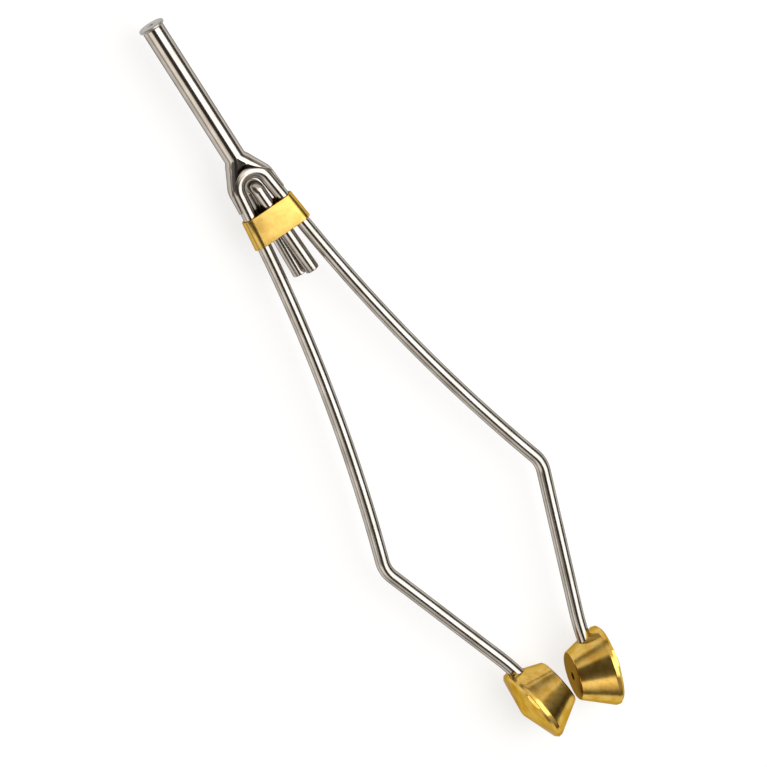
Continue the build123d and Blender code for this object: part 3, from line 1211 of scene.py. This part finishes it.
@dataclass
class SpoolFoot:
    """Turned brass cone on the end of an arm, with a centre hole, a rim and a low conical back."""

    layout: Layout
    end: ArmEnd
    finish: TurnedBrass
    large_d: float = 10.7
    cone_length: float = 4.35
    rim: float = 0.8
    back_angle: float = 15.0
    back_tip_radius: float = 2.0
    back_edge: float = 0.32
    edge: float = 0.12
    rim_edge_radius: float = 0.05
    wire_fit: float = 0.02
    centre_hole_d: float = 1.1
    centre_hole_depth: float = 0.9
    stake_angle: float = 66.0
    stake_front: float = 0.4
    stake_length: float = 2.2
    stake_depth: float = 0.35
    sharp_angle: float = 20.0
    cone_rings: int = 12
    hole_sides: int = 64
    steps: int = 160
    tip_steps: int = 8

    @property
    def side(self) -> Side:
        """Side of the tool that the foot is on."""
        return self.end.side

    @property
    def lathe(self) -> Matrix:
        """Place of the foot's small face and axis on its arm, rolled about the wire that it is staked on.

        Returns:
            The move from the lathe, where the axis is +X and the small face at the origin.
        """
        seat = self.side.flip(self.end.seat)
        axis = self.side.flip(self.end.axis)
        up_wire = self.side.flip(self.layout.heading(self.end.end_angle)) * -1
        roll = Matrix.Rotation(math.radians(self.end.foot_roll), 4, up_wire)
        turn = Matrix.Rotation(math.atan2(axis.y, axis.x), 4, "Z")
        to_seat = Matrix.Translation((-self.layout.foot_wire_seat, 0, 0))
        return Matrix.Translation(seat) @ roll @ turn @ to_seat

    @property
    def apex(self) -> float:
        """Distance along the axis from the small face to the tip of the back.

        Returns:
            The foot's full length.
        """
        slope = math.radians(self.back_angle)
        cone = (self.large_d / 2 - self.back_edge) * math.tan(slope)
        return self.cone_length + self.rim + cone - self.back_tip_radius * (1 / math.cos(slope) - 1)

    def turned(self) -> BMesh:
        """The foot as it leaves the lathe, with its axis along +X and its small face at the origin.

        Returns:
            Mesh of the foot.
        """
        small_r = self.layout.foot_small_d / 2
        large_r = self.large_d / 2
        hole_r = self.centre_hole_d / 2
        rim_back = self.cone_length + self.rim
        cone_slope = (large_r - small_r) / self.cone_length
        slope = math.radians(self.back_angle)
        tip_drop = self.back_tip_radius * (1 - math.cos(slope))
        profile = [(self.centre_hole_depth, 0), (self.centre_hole_depth, hole_r), (0, hole_r),
                   (0, small_r - self.edge), (self.edge, small_r + self.edge * cone_slope),
                   (self.cone_length, large_r), (rim_back - self.back_edge, large_r),
                   (rim_back, large_r - self.back_edge),
                   (self.apex - tip_drop, self.back_tip_radius * math.sin(slope))]
        mesh = bmesh.new()
        verts = [mesh.verts.new((x, r, 0)) for x, r in profile]
        sides = [mesh.edges.new((here, after)) for here, after in zip(verts, verts[1:])]
        front_cone, back_cone = sides[4], sides[-1]
        bmesh.ops.spin(mesh, geom=[verts[-1]], cent=(self.apex - self.back_tip_radius, 0, 0), axis=(0, 0, -1),
                       dvec=(0, 0, 0), angle=slope, steps=self.tip_steps)
        bmesh.ops.subdivide_edges(mesh, edges=[back_cone, front_cone], cuts=self.cone_rings)
        turn_round(mesh, (1, 0, 0), self.steps)
        rings = [edge for edge in mesh.edges
                 if all(abs(vert.co.x - self.cone_length) < WELD_MM for vert in edge.verts)]
        round_edges(mesh, rings, self.rim_edge_radius)
        return mesh

    def placed(self, mesh: BMesh) -> BMesh:
        """The same mesh, moved from the lathe's axis to the foot's place on its arm."""
        bmesh.ops.transform(mesh, matrix=self.lathe, verts=mesh.verts)
        return mesh

    def stake_cutter(self) -> BMesh:
        """The block that cuts the stake mark into the back of the rim.

        Returns:
            Mesh of the block, in its place.
        """
        run = self.apex - self.cone_length - self.stake_front
        tilt = math.radians(self.stake_angle) - math.pi / 2
        mesh = bmesh.new()
        bmesh.ops.create_cube(mesh, size=1.0)
        bmesh.ops.scale(mesh, vec=(run, self.stake_length, 2 * self.stake_depth), verts=mesh.verts)
        bmesh.ops.translate(mesh, vec=(self.apex - run / 2, 0, self.large_d / 2), verts=mesh.verts)
        bmesh.ops.rotate(mesh, cent=(0, 0, 0), matrix=Matrix.Rotation(self.side.value * tilt, 3, "X"),
                         verts=mesh.verts)
        return self.placed(mesh)

    def wire_cutter(self) -> BMesh:
        """The rod that cuts the hole for the arm's wire.

        Returns:
            Mesh of the rod, in its place.
        """
        lay = self.layout
        heading = self.side.flip(lay.heading(self.end.end_angle))
        bottom = self.side.flip(self.end.seat) + heading * (lay.foot_wire_past_axis + self.wire_fit)
        wire = BentWire(lay.wire_r + self.wire_fit, bottom, -heading, self.hole_sides)
        wire.straight(self.large_d)
        return wire.close()

    def build(self) -> None:
        """Turns the foot, cuts the wire's hole and the stake mark, and sets it on its arm."""
        material = self.finish.material(self.side, self.lathe)
        foot = to_piece(self.placed(self.turned()), f"{self.side.word}_turned_foot", material)
        for cutter_mesh in (self.wire_cutter(), self.stake_cutter()):
            self.cut(foot, to_piece(cutter_mesh, "cutter", material))
        self.shade(foot)
        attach(foot, self.side.body.value)
        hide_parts(f"{self.side.word}_spool_foot")
        log.info("%s: %d faces", foot.name, len(foot.data.polygons))

    def shade(self, foot: Object) -> None:
        """Keeps the cut edges of a foot sharp.

        Args:
            foot: Piece that has been cut.
        """
        mesh = bmesh.new()
        mesh.from_mesh(foot.data)
        smooth(mesh, self.sharp_angle)
        mesh.to_mesh(foot.data)
        mesh.free()

    @staticmethod
    def cut(foot: Object, cutter: Object) -> None:
        """Takes a cutter's shape out of the foot's mesh and removes the cutter.

        Args:
            foot: Piece that is cut.
            cutter: Object with the shape that is taken out.
        """
        change = foot.modifiers.new("cut", "BOOLEAN")
        change.operation = "DIFFERENCE"
        change.solver = "EXACT"
        change.object = cutter
        bpy.context.view_layer.update()
        ready = foot.evaluated_get(bpy.context.evaluated_depsgraph_get())
        whole = foot.data
        foot.data = bpy.data.meshes.new_from_object(ready)
        foot.modifiers.clear()
        bpy.data.meshes.remove(whole)
        bpy.data.objects.remove(cutter)


@dataclass(frozen=True)
class Panel:
    """A darker or brighter part of the studio, which polished metal shows as a band or patch."""

    direction: tuple
    outer_angle: float
    inner_angle: float
    level: float


@dataclass
class Studio:
    """White table, soft lights and the camera at the photograph's place."""

    floor_z: float
    table_half: float = 1500.0
    table_tone: str = "#EDEDED"
    table_shade: float = 0.34
    table_glow: float = 0.72
    room_tone: str = "#FFF8EF"
    room_level: float = 1.0
    # The room darkens over these spans of a direction's z, towards the horizon, and of its y, below the feet.
    horizon_level: float = 0.25
    horizon_span: tuple = (0.05, 0.5)
    below_level: float = 0.4
    below_span: tuple = (-0.8, -0.1)
    # The dark panels give the line down wires and tube and the patches on the feet; the bright ones lift
    # the metal beside them.
    panels: tuple = (
        Panel((-0.24, -0.25, 0.94), 27, 15, 0.04),
        Panel((0.89, -0.28, 0.37), 30, 20, 0.14),
        Panel((-0.60, 0.34, 0.72), 32, 24, 0.1),
        Panel((-0.83, -0.24, 0.50), 36, 20, 1.7),
        Panel((0.12, 0.32, 0.94), 24, 12, 1.7),
    )
    key_place: tuple = (0.297, -0.12, 0.526)
    key_aim: tuple = (0.0, -0.055, 0.0)
    key_width: float = 0.62
    key_length: float = 0.563
    key_glow: float = 2.0
    image_px: float = 767.0
    focal_px: float = 4654.7
    camera_distance: float = 0.5831
    tilt: float = 15.1
    side: float = -7.2
    roll: float = 32.48
    aim: tuple = (0.0, -0.02965, 0.0)
    aim_px: tuple = (275.44, 221.08)
    sensor: float = 36.0
    clip_start: float = 0.01

    def build(self) -> None:
        """Sets up the table, the lights, the world and the camera."""
        self.table()
        self.world()
        self.soft_box()
        self.camera()
        bpy.context.scene.view_settings.view_transform = "Standard"

    def table(self) -> None:
        """A large white table under the feet: plain painted board that keeps a faint shadow of the tool."""
        mesh = bmesh.new()
        bmesh.ops.create_grid(mesh, x_segments=1, y_segments=1, size=self.table_half)
        bmesh.ops.translate(mesh, vec=(0, 0, self.floor_z / MM), verts=mesh.verts)
        material, tree = new_material("white_table")
        path = add_node(tree, "ShaderNodeLightPath")
        seen = add_node(tree, "ShaderNodeMath", {"operation": "ADD"}, None,
                        {0: path.outputs["Is Camera Ray"], 1: path.outputs["Is Glossy Ray"]})
        shown = add_node(tree, "ShaderNodeMath", {"operation": "ADD", "use_clamp": True}, None,
                         {0: seen.outputs["Value"], 1: path.outputs["Is Transmission Ray"]})
        grey = self.table_shade
        plain = add_node(tree, "ShaderNodeBsdfDiffuse", None, {"Color": colour(self.table_tone)})
        shade = add_node(tree, "ShaderNodeBsdfDiffuse", None, {"Color": (grey, grey, grey, 1)})
        glow = add_node(tree, "ShaderNodeEmission", None,
                        {"Color": (1, 1, 1, 1), "Strength": self.table_glow})
        white = add_node(tree, "ShaderNodeAddShader", None, None, {0: shade.outputs[0], 1: glow.outputs[0]})
        mixed = add_node(tree, "ShaderNodeMixShader", None, None,
                         {0: shown.outputs["Value"], 1: plain.outputs[0], 2: white.outputs[0]})
        add_node(tree, "ShaderNodeOutputMaterial", None, None, {"Surface": mixed.outputs[0]})
        table = to_piece(mesh, "white_table", material)

    def world(self) -> None:
        """Even light from the room, darker near the horizon and below the feet, with panels in it."""
        world = bpy.data.worlds.new("studio")
        world.use_nodes = True
        tree = world.node_tree
        tree.nodes.clear()
        place = add_node(tree, "ShaderNodeTexCoord").outputs["Generated"]
        parts = add_node(tree, "ShaderNodeSeparateXYZ", None, None, {"Vector": place})
        level = self.fade(tree, parts.outputs["Z"], *self.horizon_span, self.horizon_level, self.room_level)
        fades = [self.fade(tree, parts.outputs["Y"], *self.below_span, self.below_level, 1.0)]
        for panel in self.panels:
            towards = Vector(panel.direction).normalized()
            turn = add_node(tree, "ShaderNodeVectorMath", {"operation": "DOT_PRODUCT"}, {1: towards},
                            {0: place})
            outer, inner = (math.cos(math.radians(angle)) for angle in (panel.outer_angle, panel.inner_angle))
            fades.append(self.fade(tree, turn.outputs["Value"], outer, inner, 1.0, panel.level))
        for fade in fades:
            both = add_node(tree, "ShaderNodeMath", {"operation": "MULTIPLY"}, None, {0: level, 1: fade})
            level = both.outputs[0]
        light = add_node(tree, "ShaderNodeBackground", None, {"Color": colour(self.room_tone)},
                         {"Strength": level})
        add_node(tree, "ShaderNodeOutputWorld", None, None, {"Surface": light.outputs[0]})
        bpy.context.scene.world = world

    @staticmethod
    def fade(tree: NodeTree, value: NodeSocket, start: float, end: float, low: float,
             high: float) -> NodeSocket:
        """A smooth change of level between two limits of a value.

        Args:
            tree: Node tree of the world.
            value: Value that the level follows.
            start: Value where the change begins.
            end: Value where it ends.
            low: Level before the change.
            high: Level after it.

        Returns:
            Socket with the level.
        """
        node = add_node(tree, "ShaderNodeMapRange", {"interpolation_type": "SMOOTHSTEP"},
                        {"From Min": start, "From Max": end, "To Min": low, "To Max": high}, {"Value": value})
        return node.outputs["Result"]

    def soft_box(self) -> None:
        """A large soft lamp aimed at the middle of the tool, whose face is white at a glow of one."""
        lamp = bpy.data.lights.new("key_soft_box", "AREA")
        lamp.shape = "RECTANGLE"
        lamp.size = self.key_width
        lamp.size_y = self.key_length
        lamp.energy = self.key_glow * math.pi * self.key_width * self.key_length
        box = bpy.data.objects.new("key_soft_box", lamp)
        place = Vector(self.key_place)
        turn = (place - Vector(self.key_aim)).to_track_quat("Z", "Y").to_matrix().to_4x4()
        box.matrix_world = Matrix.Translation(place) @ turn
        bpy.context.scene.collection.objects.link(box)

    def camera(self) -> None:
        """Puts the camera where the photograph was taken from, by a point whose place in it is known."""
        tilt, side, roll = (math.radians(angle) for angle in (self.tilt, self.side, self.roll))
        back = Vector((math.sin(side) * math.cos(tilt), math.sin(tilt), math.cos(side) * math.cos(tilt)))
        tall = Vector((0, 1, 0))
        tall = (tall - back * tall.dot(back)).normalized()
        wide = tall.cross(back)
        off_x = self.image_px / 2 - self.aim_px[0]
        off_y = self.aim_px[1] - self.image_px / 2
        along_wide = off_x * math.cos(roll) + off_y * math.sin(roll)
        along_tall = off_y * math.cos(roll) - off_x * math.sin(roll)
        look = (wide * along_wide + tall * along_tall - back * self.focal_px).normalized()
        picture_up = wide * math.sin(roll) + tall * math.cos(roll)
        picture_up = (picture_up - look * picture_up.dot(look)).normalized()
        turn = Matrix((look.cross(picture_up), picture_up, -look)).transposed()
        lens = bpy.data.cameras.new("camera")
        lens.sensor_width = self.sensor
        lens.lens = self.focal_px / self.image_px * self.sensor
        lens.clip_start = self.clip_start
        camera = bpy.data.objects.new("camera", lens)
        stand = Vector(self.aim) + back * self.camera_distance
        camera.matrix_world = Matrix.Translation(stand) @ turn.to_4x4()
        bpy.context.scene.collection.objects.link(camera)
        bpy.context.scene.camera = camera


def main() -> None:
    """Builds every piece in order, lights the scene and notes the size of the result."""
    logging.basicConfig(level=logging.INFO, format="%(name)s: %(message)s")
    layout = Layout()
    # Spring wire given a polish by the die: long bright streaks with one dark line, and edges darkened by
    # painted shade in the edge tone.
    wire = DrawnSteel("drawn_spring_wire", "drawn_wire", light_tone="#C6C1BA", dark_tone="#A39D95",
                      least_rough=0.12, most_rough=0.22, edge_tint_and_shade="#8C8883")
    # Tube buffed after drawing: the sharpest streaks of all, and a matt bore that shows in the fork; its edge
    # tone paints shade along the edges.
    tube = DrawnSteel("polished_stainless_tube", "polished_tube", light_tone="#C6C0B8", dark_tone="#ACA59C",
                      least_rough=0.1, most_rough=0.18, edge_tint_and_shade="#8C8883", bore_radius=1.25)
    # Lip left satin by turning: an even grey disc with no clear reflections.
    lip = DrawnSteel("satin_stainless_lip", "tip_steel", light_tone="#B4B1AD", dark_tone="#9C9893",
                     least_rough=0.3, most_rough=0.42)
    # Strip bright from the rolls: a pale gold front with soft smudges and dark bends.
    strip = RolledBrass("rolled_brass_strip", "band_brass", light_tone="#CBAA5E", dark_tone="#BE9B4E",
                        least_rough=0.2, most_rough=0.27, edge_tint_and_shade="#D8B468")
    # Bar turned and given a polish: deep gold with dark and bright sweeps along the cone, and painted shade
    # on the small faces.
    bar = TurnedBrass("turned_brass", "turned_brass", light_tone="#DEBB66", dark_tone="#CA9F46",
                      least_rough=0.14, most_rough=0.24, edge_tint_and_shade="#C9B796")
    hairpin = WedgeHairpin(layout, wire)
    TipBush(layout, lip).build()
    ThreadTube(layout, tube).build()
    ends = (ArmEnd(layout, Side.LEFT, toe_angle=6.6, foot_drop=27.78, foot_roll=4.0),
            ArmEnd(layout, Side.RIGHT, toe_angle=17.6, foot_drop=28.85))
    WireFrame(layout, ends, wire).build()
    hairpin.build()
    ClampBand(layout, hairpin, strip).build()
    for end in ends:
        SpoolFoot(layout, end, bar).build()
    Studio(floor_z=CAD_BOX[0][2]).build()


if __name__ == "__main__":
    main()
